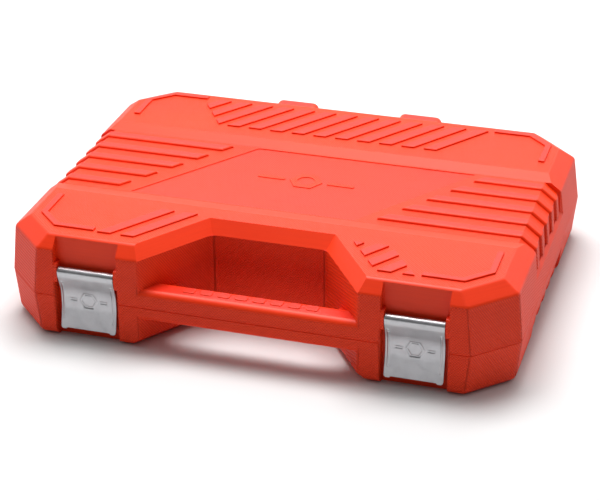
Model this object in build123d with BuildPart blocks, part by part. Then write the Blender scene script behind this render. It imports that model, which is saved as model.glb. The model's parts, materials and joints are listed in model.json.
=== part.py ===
"""Socket wrench set in a blow-moulded carrying case, closed, lying on its base.

Millimetres. +X to the right, -Y to the handle side, +Z up. The origin is the middle of the
flat underside of the base. Every piece is modelled where it lies in the closed case.
"""
import os
from math import atan, degrees

from build123d import *

# ------------------------------------------------------------------ case, overall
case_width = 440.0        # across the two halves where they meet
case_depth = 342.6        # front to back where they meet, without the hinge feet
parting = 38.7            # height of the plane where lid and base meet
shoulder = 80.9           # height where the lid's bevel starts
lid_top = 91.6            # height of the lid's top face
parting_corner = 34.5     # corner cut at the parting plane
wall = 2.5                # thickness of the moulded walls
edge_round = 5.0          # rounding of the lid's outer edges
parting_bevel = 0.6       # small bevel along the line where lid and base meet
base_round = 8.0          # rounding of the base's lower edges

shoulder_side_lean = 4.3  # how far the side walls lean in between parting and shoulder
shoulder_front_lean = 0.7
shoulder_back_lean = 8.3
shoulder_corner_lean = 6.2
bevel_side = 13.9         # width of the bevel at the sides
bevel_front = 9.5
bevel_back = 13.8
bevel_corner = 13.6
base_side_lean = 4.1      # how far the base's walls lean in towards the floor
base_front_lean = 0.4
base_corner_lean = 3.2

# ------------------------------------------------------------------ grip and its recess
grip_low = 26.0           # underside of the handle
grip_high = 54.0          # top of the handle
grip_depth = 22.0         # handle, front to back
grip_round = 6.0          # rounding of the handle's long edges
recess_depth = 63.8       # from the front wall to the back wall of the handle recess
recess_back_half = 49.5   # half width of that wall
slant = 0.69              # sideways step of every slanted line, per unit of depth
recess_flare = 9.5        # how far the recess opens out across the bevel
recess_corner_round = 9.0
recess_mouth_round = 5.0  # rounding where the recess opens through the front wall
pad_count = 8             # low finger pads along the top of the handle
pad_pitch = 15.0
pad_width = 10.5
pad_depth = 8.0
pad_height = 0.7
pad_root = 1.0            # how far a pad reaches down into the handle

# ------------------------------------------------------------------ raised and sunk features of the lid
band_depth = 3.6          # depth of the sunk band across the lid
band_front = -64.0
band_front_slope = 16.5
band_back = 55.5
band_back_slope = 12.5
side_band_margin = 7.0    # the sunk band is this much wider on the side walls
band_foot = 15.8          # the band ends this far above, and below, the parting plane
base_band_reach = 60.0    # how far the band runs in under the base
side_rib_places = (-2, -1, 0, 1, 2)
side_rib_pitch = 23.3
side_rib_middle = -3.5
side_rib_width = 10.5
side_rib_height = 2.2
side_rib_round = 2.0
side_rib_foot = 21.3      # the ribs end this far above, and below, the parting plane
left_rib_tip = -121.5     # inner end of the middle rib on the left, at its front edge
right_rib_tip = 109.9
rib_tip_step = 15.7       # each rib ends this much further in than the one before it
panel_half = 100.0        # smooth middle panel: half width at its middle
panel_front = -62.0
panel_back = 53.5
panel_depth = 0.6
emblem_height = 0.6
emblem_size = 15.0        # radius of the hexagon in the middle panel

row_front = 85.0          # row of slanted ribs behind the band
row_back = 138.3
row_rib_width = 11.7
row_rib_pitch = 20.7
row_rib_last = 96.8       # right edge of the last full rib, at its front end
row_rib_count = 13
row_left = -106.0         # where the row's left end meets its front edge
slant_rib_height = 1.6
slant_rib_round = 0.7
front_rib_width = 11.5
front_rib_pitch = 20.8
front_left_ribs = [-98.2, -77.5]      # left edges at the ribs' back end
front_rib_start = 21.3    # from the front wall to the front end of the ribs beside the recess
front_rib_length = 53.7
strip_first = 20.0        # left front corner of the first rib of the strip right of the recess
strip_left = 72.6         # the strip's back left corner
strip_length = 42.4
strip_width = 32.0
strip_rib_count = 6
bracket_width = 5.5
bracket_middle = -2.5     # the ridges lie evenly about this depth
bracket_height = 1.7
bracket_side = 28.5       # from the case's side to the middle of a corner ridge
bracket_front = 27.8      # and from its front or back
bracket_side_run = 35.0   # lengths of the ridge's straight ends
bracket_front_run = 34.0
bracket_cut = 18.5        # the run between them cuts this much off the corner
rib_root = 1.0            # how far raised ribs reach down into the lid's top

# ------------------------------------------------------------------ hinge
hinge_centre = 60.5
foot_width = 41.0
foot_top = 9.1            # from the lid's top down to the top of a foot
foot_bottom = 6.0
foot_corner = 6.0
knuckle_radius = 4.0
knuckle_gap = 0.6         # between a knuckle and the wall behind it
lid_knuckle_width = 17.0
knuckle_side_gap = 0.35
knuckle_relief = 5.6      # the other half's foot starts this far from the hinge axis
hinge_pin_radius = 1.5
running_gap = 0.05        # radial play of a pin or shaft in its bore

# ------------------------------------------------------------------ latches
latch_centre = 139.5
latch_width = 49.0
latch_sheet = 1.2
latch_slot_depth = 8.8    # from the front wall to the back of the slot
latch_mouth_round = 2.0
latch_axis_out = 4.7      # from the back of the slot to the axis the latch turns on
latch_axis_up = 21.8      # height of that axis above the parting plane
latch_bar_radius = 2.7
latch_bar_gap = 0.15
latch_side_gap = 0.5
latch_foot = 7.5
latch_catch_gap = 0.3
boss_width = 2.6          # moulded bosses at the ends of the bar
boss_height = 18.0
boss_back_gap = 0.6       # from the front wall back to the face of a boss
catch_width = 34.0
catch_down = 8.7          # from the parting plane down to the middle of the catch
catch_reach = 1.8         # how far the catch stands out of the slot's back

# ------------------------------------------------------------------ inner walls and tool seats
deck_down = 4.7           # from the parting plane down to the tray surface in the base
ceiling_down = 29.6       # from the lid's top down to its inner wall
space_side_gap = 15.0     # from the case's outside to the space for tools
space_back_gap = 15.3
space_recess_gap = 9.5    # from the back of the handle recess
space_lobe_gap = 21.3     # from the front wall, beside the handle recess
space_corner = 26.0
space_slant_gap = 7.0     # distance kept from the recess's slanted walls
seat_gap = 0.3            # play of a tool in its seat
seat_skin = 2.0           # thickness of a seat's moulded wall
reach = 400.0             # longer than anything in the case
half_inch = 12.7
quarter_inch = 6.35
row_gap = 2.8             # between two sockets that lie side by side
ratchet_height = 36.0     # height of the ratchets' middle planes
holder_place = (138.0, -124.0)
holder_width = 88.0
holder_depth = 42.0
holder_height = 13.0
holder_floor = 22.0
bit_size = 6.35
bit_length = 25.0
bit_pitch = 8.4
bit_row_pitch = 12.0
bit_columns = 10
bit_rows = 3
wrench_first_y = 146.0
wrench_reach = 194.0      # the wrenches' open ends lie this far out
wrench_gap = 6.0

os.makedirs("parts", exist_ok=True)


def finish(piece, name):
    """Label a finished piece and write it."""
    piece.label = name
    export_step(piece, f"parts/{name}.step")


# ================================================================== places that follow from the sizes
half_width = case_width / 2
front = -case_depth / 2
back = case_depth / 2
grip_back = front + grip_depth
recess_back = front + recess_depth
ledge = parting + band_foot                  # height where the side band ends on the lid
latch_slot_half = latch_width / 2 + latch_side_gap + boss_width
latch_slot_back = front + latch_slot_depth
latch_axis_y = latch_slot_back - latch_axis_out
latch_axis_z = parting + latch_axis_up
catch_height = parting - catch_down
catch_front = latch_slot_back - catch_reach
deck = parting - deck_down
lid_ceiling = lid_top - ceiling_down
space_side = half_width - space_side_gap
space_back = back - space_back_gap
space_front = recess_back + space_recess_gap
space_lobe = front + space_lobe_gap


# ================================================================== outside of the two halves


def outline(side_in, front_in, back_in, corner_in):
    """Corners of the case's outline, anticlockwise, with every wall moved in by its own amount."""
    cut = parting_corner + corner_in * 2 ** 0.5 - side_in - (front_in + back_in) / 2
    right = half_width - side_in
    low = front + front_in
    high = back - back_in
    return [
        (-right + cut, low), (right - cut, low), (right, low + cut), (right, high - cut),
        (right - cut, high), (-right + cut, high), (-right, high - cut), (-right, low + cut),
    ]


def leaning_planes(outer, inner, outer_height, inner_height):
    """One outward-facing plane per wall, through its line at each of the two heights."""
    planes = []
    for index, (x, y) in enumerate(outer):
        start = Vector(x, y, outer_height)
        along = Vector(*outer[(index + 1) % 8], outer_height) - start
        across = Vector(*inner[index], inner_height) - start
        normal = along.cross(across) * (1 if inner_height > outer_height else -1)
        planes.append(Plane(origin=start, x_dir=along, z_dir=normal))
    return planes


parting_outline = outline(0, 0, 0, 0)
shoulder_outline = outline(shoulder_side_lean, shoulder_front_lean, shoulder_back_lean, shoulder_corner_lean)
top_outline = outline(
    shoulder_side_lean + bevel_side, shoulder_front_lean + bevel_front,
    shoulder_back_lean + bevel_back, shoulder_corner_lean + bevel_corner,
)
floor_outline = outline(base_side_lean, base_front_lean, base_front_lean, base_corner_lean)
lid_planes = leaning_planes(parting_outline, shoulder_outline, parting, shoulder)
lid_planes += leaning_planes(shoulder_outline, top_outline, shoulder, lid_top)
base_planes = leaning_planes(parting_outline, floor_outline, parting, 0)


def is_level(edge):
    """Whether both ends of an edge are at one height."""
    return abs(edge.position_at(0).Z - edge.position_at(1).Z) < 0.01


def half_block(inset, low, high, planes):
    """Solid inside the given wall planes, all moved in by inset, between two heights."""
    with BuildPart() as block:
        with BuildSketch(Plane.XY.offset(low)):
            Rectangle(case_width + reach, case_depth + reach)
        extrude(amount=high - low)
        for plane in planes:
            split(bisect_by=plane.offset(-inset), keep=Keep.BOTTOM)
    return block.part


def lid_block(inset):
    return half_block(inset, parting, lid_top - inset, lid_planes)


def base_block(inset):
    """The base's block, its lower edges and corners rounded."""
    sharp = half_block(inset, inset, parting, base_planes)
    with BuildPart() as block:
        add(sharp)
        fillet(block.edges().filter_by(lambda edge: edge.center().Z < parting - 0.1), base_round - inset)
    return block.part


def band(depth, grow):
    """The sunk band: everything between the outer face and one depth deeper, ribs not yet in it."""
    core = lid_block(depth)
    middle = (band_front + band_back) / 2
    top = lid_top + 10
    tall = top + 20 - ledge
    with BuildPart() as cutter:
        with BuildSketch(Plane.YZ.offset(-reach)):
            with BuildLine():
                Polyline(
                    (band_front - band_front_slope - grow, lid_top),
                    (band_front - grow, lid_top - band_depth),
                    (band_front - grow, ledge + side_band_margin - grow),
                    (band_back + grow, ledge + side_band_margin - grow),
                    (band_back + grow, lid_top - band_depth), (band_back + band_back_slope + grow, lid_top),
                    (band_back + band_back_slope + grow, top), (band_front - band_front_slope - grow, top),
                    close=True,
                )
            make_face()
        extrude(amount=2 * reach)
        for side in (-1, 1):
            face_plane = Plane(
                origin=(side * (half_width + 1), 0, 0), x_dir=(0, side, 0), z_dir=(side, 0, 0),
            )
            with BuildSketch(face_plane):
                with Locations((side * middle, ledge - grow + tall / 2)):
                    Rectangle(band_back - band_front + 2 * (side_band_margin + grow), tall)
            extrude(amount=-9 - 2 * grow, taper=50)
        add(core, mode=Mode.SUBTRACT)
    return cutter.part


def base_band(depth, grow):
    """The same band on the base's side walls, wrapping under its lower edges."""
    core = base_block(depth)
    middle = (band_front + band_back) / 2
    top = parting - band_foot + grow
    tall = top + 40
    with BuildPart() as cutter:
        for side in (-1, 1):
            face_plane = Plane(
                origin=(side * (half_width + 1), 0, 0), x_dir=(0, side, 0), z_dir=(side, 0, 0),
            )
            with BuildSketch(face_plane):
                with Locations((side * middle, top - tall / 2)):
                    Rectangle(band_back - band_front + 2 * (side_band_margin + grow), tall)
            extrude(amount=-base_band_reach - grow, taper=8)
        add(core, mode=Mode.SUBTRACT)
    return cutter.part


def recess_half(y):
    """Half width of the handle recess at one depth."""
    return recess_back_half + slant * (recess_back - y)


def grip_recess(low, high, grow, flare_at, flare_rise):
    """The recess around the handle, between two heights, open to the front and flared at its mouth."""
    mouth = front - 30
    wide = recess_half(mouth) + 10
    with BuildPart() as cutter:
        with BuildSketch(Plane.XY.offset(low)) as plan:
            with BuildLine():
                Polyline(
                    (-wide, mouth), (wide, mouth), (wide, front), (recess_half(front), front),
                    (recess_back_half, recess_back), (-recess_back_half, recess_back),
                    (-recess_half(front), front), (-wide, front), close=True,
                )
            make_face()
            fillet(plan.vertices().group_by(Axis.Y)[-1], recess_corner_round)
            fillet(plan.vertices().group_by(Axis.Y)[1].sort_by(Axis.X)[1:-1], recess_mouth_round)
            if grow:
                offset(amount=grow, kind=Kind.INTERSECTION)
        extrude(amount=high - low)
        if flare_rise:
            spread = degrees(atan(recess_flare / abs(flare_rise)))
            flare_plane = Plane(origin=(0, 0, flare_at), x_dir=(1, 0, 0), z_dir=(0, 0, flare_rise))
            with BuildSketch(flare_plane) as mouth_plan:
                with BuildLine():
                    turn = 1 if flare_rise > 0 else -1
                    Polyline(
                        (-recess_half(mouth), turn * mouth), (recess_half(mouth), turn * mouth),
                        (recess_back_half, turn * recess_back), (-recess_back_half, turn * recess_back),
                        close=True,
                    )
                make_face()
                if grow:
                    offset(amount=grow, kind=Kind.INTERSECTION)
            extrude(amount=abs(flare_rise) + 2, taper=-spread)
    return cutter.part


def finger_gap(low, high, grow, corner_round=recess_corner_round):
    """The gap behind the handle that the fingers go through."""
    with BuildPart() as cutter:
        with BuildSketch(Plane.XY.offset(low)) as plan:
            with BuildLine():
                Polyline(
                    (-recess_half(grip_back), grip_back), (recess_half(grip_back), grip_back),
                    (recess_back_half, recess_back), (-recess_back_half, recess_back), close=True,
                )
            make_face()
            if corner_round:
                fillet(plan.vertices(), corner_round)
            if grow:
                offset(amount=grow, kind=Kind.INTERSECTION)
        extrude(amount=high - low)
    return cutter.part


def grip_cap(full, low, high, outer_height):
    """The rounded part of the handle, set into the recess walls. Outer height is its free face's."""
    def half(y):
        return recess_half(y) + 1

    with BuildPart() as cap:
        with BuildSketch(Plane.XY.offset(low)):
            with BuildLine():
                Polyline(
                    (-half(front - 5), front - 5), (half(front - 5), front - 5),
                    (half(grip_back), grip_back), (-half(grip_back), grip_back), close=True,
                )
            make_face()
        extrude(amount=high - low)
        add(full, mode=Mode.INTERSECT)
        free = cap.edges().filter_by(lambda edge: abs(edge.center().Z - outer_height) < 0.01)
        fillet(free.filter_by(Axis.X), grip_round)
    return cap.part


def latch_slots(low, high, grow):
    """The two upright slots in the front wall that the latches lie in, their mouths rounded out."""
    half = latch_slot_half
    wide = half + 2 * latch_mouth_round
    with BuildPart() as cutter:
        for side in (-1, 1):
            slot_plane = Plane(origin=(side * latch_centre, 0, low), z_dir=(0, 0, 1))
            with BuildSketch(slot_plane) as plan:
                with BuildLine():
                    Polyline(
                        (-wide, front - latch_slot_depth), (wide, front - latch_slot_depth), (wide, front),
                        (half, front), (half, latch_slot_back), (-half, latch_slot_back), (-half, front),
                        (-wide, front), close=True,
                    )
                make_face()
                fillet(plan.vertices().group_by(Axis.Y)[1].sort_by(Axis.X)[1:-1], latch_mouth_round)
                if grow:
                    offset(amount=grow, kind=Kind.INTERSECTION)
            extrude(amount=high - low)
    return cutter.part


def tool_space(low, high, grow):
    """The space inside the case that holds the tools, between two heights."""
    inner = recess_half(space_lobe) + space_slant_gap
    bend = recess_half(space_front) + space_slant_gap
    with BuildPart() as space:
        with BuildSketch(Plane.XY.offset(low)) as plan:
            with BuildLine():
                Polyline(
                    (-space_side, space_back), (-space_side, space_lobe),
                    (-inner, space_lobe), (-bend, space_front),
                    (bend, space_front), (inner, space_lobe),
                    (space_side, space_lobe), (space_side, space_back), close=True,
                )
            make_face()
            outer = plan.vertices().filter_by(lambda corner: abs(corner.X) > space_side - 1)
            chamfer(outer, space_corner)
            if grow:
                offset(amount=grow, kind=Kind.INTERSECTION)
        extrude(amount=high - low)
    return space.part


def outer_edges(piece, up):
    """Edges around the faces that look away from the case: sideways, and up (1) or down (-1)."""
    chosen = []
    for face in piece.faces():
        normal = face.normal_at()
        away = normal.X if face.center().X > 0 else -normal.X
        if max(up * normal.Z, away) > 0.3 and abs(normal.Y) < 0.3:
            chosen += face.edges()
    return ShapeList(chosen)


def slanted_rib(left_front, low, high, width, base_height, height, lean=slant):
    """A raised rib with a parallelogram outline, its left front corner and its two depths given."""
    shift = lean * (high - low)
    with BuildPart() as rib:
        with BuildSketch(Plane.XY.offset(base_height - rib_root)):
            with BuildLine():
                Polyline(
                    (left_front, low), (left_front + width, low), (left_front + width + shift, high),
                    (left_front + shift, high), close=True,
                )
            make_face()
        extrude(amount=height + rib_root)
        fillet(rib.faces().sort_by(Axis.Z)[-1].edges(), slant_rib_round)
    return rib.part


def base_rib(side, place):
    """One rib over the base's side band, wrapping under the lower edge."""
    middle = side_rib_middle + place * side_rib_pitch
    inner = side * (half_width + 1 - base_band_reach + 12)
    rib_outside = base_block(band_depth - side_rib_height)
    rib_inside = base_block(band_depth + 0.3)
    with BuildPart() as rib:
        with BuildSketch(Plane.XY):
            with Locations(((side * reach + inner) / 2, middle)):
                Rectangle(reach - abs(inner), side_rib_width)
        extrude(amount=parting - side_rib_foot)
        add(rib_outside, mode=Mode.INTERSECT)
        add(rib_inside, mode=Mode.SUBTRACT)
        fillet(outer_edges(rib, -1), side_rib_round)
    return rib.part


# ================================================================== tools, made along +Z
def socket(size, length, drive, points=6):
    """A socket: square hole at the start, bolt opening at the far end. Returns the part and its radius."""
    drive_radius = drive * 0.87
    head_radius = max(drive_radius, size * 0.66 + drive * 0.06)
    neck = length * 0.42
    rim = 0.6
    with BuildPart() as body:
        with BuildSketch(Plane.XZ):
            with BuildLine():
                Polyline(
                    (0, 0), (drive_radius - rim, 0), (drive_radius, rim), (drive_radius, neck),
                    (head_radius, neck + head_radius - drive_radius + rim), (head_radius, length - rim),
                    (head_radius - rim, length), (0, length), close=True,
                )
            make_face()
        revolve(axis=Axis.Z)
        with BuildSketch(Plane.XY.offset(length)):
            RegularPolygon(size / 3 ** 0.5, 6)
            if points > 6:
                RegularPolygon(size / 3 ** 0.5, 6, rotation=30)
        extrude(amount=-length * 0.45, mode=Mode.SUBTRACT)
        with BuildSketch():
            Rectangle(drive + 0.15, drive + 0.15)
        extrude(amount=drive * 1.1, mode=Mode.SUBTRACT)
        Hole(min(size, drive) * 0.36)
    return body.part, head_radius


def extension(drive, length, male):
    """An extension bar: socket end, round shaft, square drive end."""
    socket_radius = drive * 0.87
    shaft_radius = drive * 0.5
    socket_length = drive * 1.7
    male_length = male * 1.15
    with BuildPart() as body:
        Cylinder(socket_radius, socket_length, align=(Align.CENTER, Align.CENTER, Align.MIN))
        chamfer(body.edges().filter_by(GeomType.CIRCLE), 0.6)
        Cylinder(shaft_radius, length - male_length, align=(Align.CENTER, Align.CENTER, Align.MIN))
        with BuildSketch(Plane.XY.offset(length - male_length)):
            Circle(male * 0.62)
        extrude(amount=-male * 0.5)
        with BuildSketch(Plane.XY.offset(length - male_length)):
            Rectangle(male, male)
        extrude(amount=male_length)
        chamfer(body.faces().sort_by(Axis.Z)[-1].edges(), 0.8)
        with BuildSketch():
            Rectangle(drive + 0.15, drive + 0.15)
        extrude(amount=drive * 1.1, mode=Mode.SUBTRACT)
    return body.part, socket_radius


def universal_joint(drive):
    """Socket yoke, cross and drive yoke, in line, and their common radius and length."""
    radius = drive * 0.87
    body_length = drive * 1.45
    ear = drive * 1.35
    slot = drive * 0.88
    centre = body_length + ear * 0.55
    pin = drive * 0.24
    play = 0.1

    with BuildPart() as yoke:
        Cylinder(radius, body_length + ear, align=(Align.CENTER, Align.CENTER, Align.MIN))
        chamfer(yoke.edges().filter_by(GeomType.CIRCLE), 0.6)
        with BuildSketch(Plane.XY.offset(body_length)):
            Rectangle(2 * radius, 2 * radius)
            Rectangle(slot - 2 * play, 2 * radius, mode=Mode.SUBTRACT)
            Rectangle(2 * radius, slot)
        extrude(amount=ear, mode=Mode.SUBTRACT)
        with BuildSketch(Plane.XZ):
            with Locations((0, centre)):
                Circle(pin + running_gap)
        extrude(amount=radius, both=True, mode=Mode.SUBTRACT)
    total = 2 * centre
    far_yoke = yoke.part.rotate(Axis.X, 180).rotate(Axis.Z, 90).moved(Location((0, 0, total)))
    with BuildPart() as first:
        add(yoke.part)
        with BuildSketch():
            Rectangle(drive + 0.15, drive + 0.15)
        extrude(amount=drive * 1.1, mode=Mode.SUBTRACT)
    with BuildPart() as second:
        add(far_yoke)
        with BuildSketch(Plane.XY.offset(total)):
            Rectangle(drive, drive)
        extrude(amount=drive * 1.1)
        chamfer(second.faces().sort_by(Axis.Z)[-1].edges(), 0.8)
    with BuildPart() as cross:
        with Locations((0, 0, centre)):
            Box(slot - 4 * play, slot - 4 * play, slot - 4 * play)
            Cylinder(pin, 2 * radius - 0.6, rotation=(90, 0, 0))
            Cylinder(pin, 2 * radius - 0.6, rotation=(0, 90, 0))
    return first.part, cross.part, second.part, radius, total


def ratchet(scale, square, length):
    """A pear-headed ratchet about its drive axis, handle along +X, square down, lever and button up."""
    half = 9.0 * scale                # half the head's thickness
    head = 18.0 * scale
    lever_x = 20.0 * scale            # lever spindle, out from the drive axis
    neck = 11.0 * scale
    shank = 7.5 * scale
    gear_radius = 12.4 * scale
    gear_play = 0.2
    neck_radius = max(9.3 * scale, square * 0.73)
    shelf = 3.0 * scale               # thickness of the lip under the gear
    cover_thickness = 1.8 * scale
    cover_radius = 16.4 * scale
    spindle = 2.8 * scale
    pawl_radius = 7.2 * scale
    pawl_pocket = 8.4 * scale         # opens into the gear's bore
    pin = 2.6 * scale
    grip_start = length * 0.47
    grip_radius = 13.0 * scale
    with BuildPart() as body:
        with BuildSketch(Plane.XY.offset(-half)):
            Circle(head)
            with Locations((lever_x, 0)):
                Circle(neck)
            make_hull()
        extrude(amount=2 * half)
        fillet(body.edges().filter_by(lambda edge: abs(abs(edge.center().Z) - half) < 0.01), 1.4 * scale)
        with BuildSketch(Plane.YZ.offset(lever_x)):
            Circle(shank)
        extrude(amount=length - lever_x - 2.0)
        with BuildSketch(Plane.XY.offset(-half + shelf)):
            Circle(gear_radius + gear_play)
            with Locations((lever_x, 0)):
                Circle(pawl_pocket)
        extrude(amount=2 * half - shelf - cover_thickness - 0.2, mode=Mode.SUBTRACT)
        with BuildSketch(Plane.XY.offset(half - cover_thickness - 0.3)):
            Circle(cover_radius + 0.15)
        extrude(amount=cover_thickness + 1, mode=Mode.SUBTRACT)
        with BuildSketch(Plane.XY.offset(-half - 1)):
            Circle(neck_radius + running_gap)
        extrude(amount=shelf + 2, mode=Mode.SUBTRACT)
        with BuildSketch(Plane.XY):
            with Locations((lever_x, 0)):
                Circle(spindle + running_gap)
        extrude(amount=half + 1, mode=Mode.SUBTRACT)
    with BuildPart() as cover:
        with BuildSketch(Plane.XY.offset(half - cover_thickness - 0.3)):
            Circle(cover_radius)
            Circle(pin + 0.8 * scale, mode=Mode.SUBTRACT)
            with PolarLocations(14.6 * scale, 3, start_angle=60):
                Circle(1.15 * scale, mode=Mode.SUBTRACT)
        extrude(amount=cover_thickness + 0.3)
    with BuildPart() as screws:
        with BuildSketch(Plane.XY.offset(half - cover_thickness - 0.3)):
            with PolarLocations(14.6 * scale, 3, start_angle=60):
                Circle(1.1 * scale)
        extrude(amount=cover_thickness + 0.3)
        with BuildSketch(Plane.XY.offset(half)):
            with PolarLocations(14.6 * scale, 3, start_angle=60):
                Circle(1.7 * scale)
        extrude(amount=0.8 * scale)
    with BuildPart() as gear:
        with BuildSketch(Plane.XY.offset(-half + shelf + 0.1)):
            Circle(gear_radius)
            with PolarLocations(gear_radius, 36):
                Rectangle(1.1 * scale, 1.1 * scale, rotation=45, mode=Mode.SUBTRACT)
        extrude(amount=2 * half - shelf - cover_thickness - 0.8)
        with BuildSketch(Plane.XY.offset(-half)):
            Circle(neck_radius)
        extrude(amount=shelf + 0.2)
        with BuildSketch(Plane.XY.offset(-half)):
            Rectangle(square, square)
        extrude(amount=-square * 1.15)
        chamfer(gear.faces().sort_by(Axis.Z)[0].edges(), 0.8)
        with BuildSketch(Plane.XY.offset(-half - square)):
            Circle(pin + running_gap)
        extrude(amount=2 * half + square + 2, mode=Mode.SUBTRACT)
    with BuildPart() as button:
        with BuildSketch(Plane.XY.offset(-half - square * 0.75)):
            Circle(pin)
        extrude(amount=2 * half + square * 0.75 + 2.0)
        with BuildSketch(Plane.XY.offset(half + 2.0)):
            Circle(4.6 * scale)
        extrude(amount=2.2 * scale)
        fillet(button.faces().sort_by(Axis.Z)[-1].edges(), 0.6 * scale)
    with BuildPart() as pawl:
        with BuildSketch(Plane.XY.offset(-half + shelf + 0.3)):
            with Locations((lever_x, 0)):
                Circle(pawl_radius)
                Rectangle(pawl_radius, 2 * pawl_radius, align=(Align.MIN, Align.CENTER), mode=Mode.SUBTRACT)
                Circle(spindle + 1.2 * scale)
        extrude(amount=half)
        with BuildSketch(Plane.XY):
            with Locations((lever_x, 0)):
                Circle(spindle)
        extrude(amount=half + 0.4)
    with BuildPart() as lever:
        with BuildSketch(Plane.XY.offset(half + 0.4)):
            with Locations((lever_x + 1.5 * scale, 0)):
                SlotOverall(15 * scale, 6.5 * scale)
        extrude(amount=3.0 * scale)
        fillet(lever.faces().sort_by(Axis.Z)[-1].edges(), 0.8 * scale)
    with BuildPart() as grip:
        with BuildSketch(Plane.XZ):
            with BuildLine():
                Polyline(
                    (grip_start, shank + 0.1), (grip_start, grip_radius * 0.8),
                    (grip_start + 6 * scale, grip_radius),
                    (grip_start + (length - grip_start) * 0.45, grip_radius * 0.9),
                    (length - 12 * scale, grip_radius), (length, grip_radius * 0.75), (length, 0),
                    (length - 1.8, 0), (length - 1.8, shank + 0.1), close=True,
                )
            make_face()
        revolve(axis=Axis.X)
    pieces = {
        "body": body.part, "cover": cover.part, "cover_screws": screws.part, "gear": gear.part,
        "button": button.part, "pawl": pawl.part, "lever": lever.part, "grip": grip.part,
    }
    return pieces, (half, head, lever_x, neck, shank, grip_start, grip_radius, neck_radius)


def spinner(drive, shaft_length, grip_length):
    """Spinner handle: square-ended shank in a fluted grip."""
    radius = 14.0
    shank = 4.0
    with BuildPart() as shaft:
        with BuildSketch():
            Rectangle(drive, drive)
        extrude(amount=drive * 1.15)
        with BuildSketch(Plane.XY.offset(drive * 1.15)):
            Circle(shank)
        extrude(amount=shaft_length + grip_length * 0.7 - drive * 1.15)
    with BuildPart() as grip:
        with BuildSketch(Plane.XY.offset(shaft_length)):
            Circle(radius)
            with PolarLocations(radius + 2.2, 8):
                Circle(3.6, mode=Mode.SUBTRACT)
        extrude(amount=grip_length)
        fillet(grip.faces().sort_by(Axis.Z)[0].edges(), 1.0)
        fillet(grip.faces().sort_by(Axis.Z)[-1].edges(), 1.0)
        with BuildSketch(Plane.XY.offset(shaft_length - 1)):
            Circle(shank + running_gap)
        extrude(amount=grip_length * 0.7 + 1.1, mode=Mode.SUBTRACT)
    return shaft.part, grip.part, shank, radius


def wrench_heads(size):
    """Length, open-end radius, ring-end radius, shank width, thickness of a combination wrench."""
    return 60 + 9.2 * size, 1.05 * size + 2, 0.75 * size + 2.5, 0.55 * size + 4, 0.25 * size + 3.5


def wrench(size):
    """Combination wrench lying along +X, open end first, its lower face at z = 0."""
    length, open_radius, ring_radius, width, thick = wrench_heads(size)
    far = length - ring_radius
    with BuildPart() as body:
        with BuildSketch(Plane.XY.offset((thick - 4.0) / 2)):
            with Locations(((open_radius + far) / 2, 0)):
                Rectangle(far - open_radius, width)
        extrude(amount=4.0)
        with BuildSketch():
            with Locations((open_radius, 0)):
                Circle(open_radius)
                Rectangle(
                    2 * open_radius, size + 0.1, rotation=15,
                    align=(Align.MAX, Align.CENTER), mode=Mode.SUBTRACT,
                )
                RegularPolygon((size + 0.1) / 3 ** 0.5, 6, rotation=15, mode=Mode.SUBTRACT)
            with Locations((far, 0)):
                Circle(ring_radius)
                RegularPolygon((size + 0.1) / 3 ** 0.5, 6, mode=Mode.SUBTRACT)
                RegularPolygon((size + 0.1) / 3 ** 0.5, 6, rotation=30, mode=Mode.SUBTRACT)
        extrude(amount=thick)
    return body.part


# ================================================================== where the tools lie
groups = {}               # node name: list of placed solids
round_seats = []          # start point, direction, radius, length of every seat of a round tool
head_seats = []           # x, y, lowest height, head radius, neck distance, neck radius of each ratchet head


def lay(piece, x, y, height, direction):
    """Turn a piece made along +Z so that it lies along direction from the given point."""
    return piece.moved(Plane(origin=(x, y, height), z_dir=direction).location)


def seat(x, y, height, direction, radius, length):
    round_seats.append((Vector(x, y, height), Vector(*direction), radius, length))


def socket_row(name, sizes, length, drive, left, low, points=6, growth=0.0):
    """Sockets side by side along +X, each lying along +Y from low. Returns where the row ends."""
    here = left
    groups.setdefault(name, [])
    for size in sizes:
        own_length = length + growth * (size - sizes[0])
        piece, radius = socket(size, own_length, drive, points)
        here += radius + row_gap / 2
        groups[name].append(lay(piece, here, low, deck, (0, 1, 0)))
        seat(here, low, deck, (0, 1, 0), radius, own_length)
        here += radius + row_gap / 2
    return here


def place_ratchet(prefix, scale, square, length, x, y):
    """Both ratchets lie flat, square down, handle along +X."""
    pieces, sizes = ratchet(scale, square, length)
    half, head, lever_x, neck, shank, grip_start, grip_radius, neck_radius = sizes
    for part_name, piece in pieces.items():
        groups[f"{prefix}_ratchet_{part_name}"] = [piece.moved(Location((x, y, ratchet_height)))]
    head_seats.append((x, y, ratchet_height - half, head, lever_x, neck))
    seat(x, y, ratchet_height - half - square * 1.15 - 0.6, (0, 0, 1), square * 0.72 + 0.6, reach / 10)
    seat(x + lever_x, y, ratchet_height, (1, 0, 0), shank, length - lever_x)
    seat(x + grip_start, y, ratchet_height, (1, 0, 0), grip_radius, length - grip_start)


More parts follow.
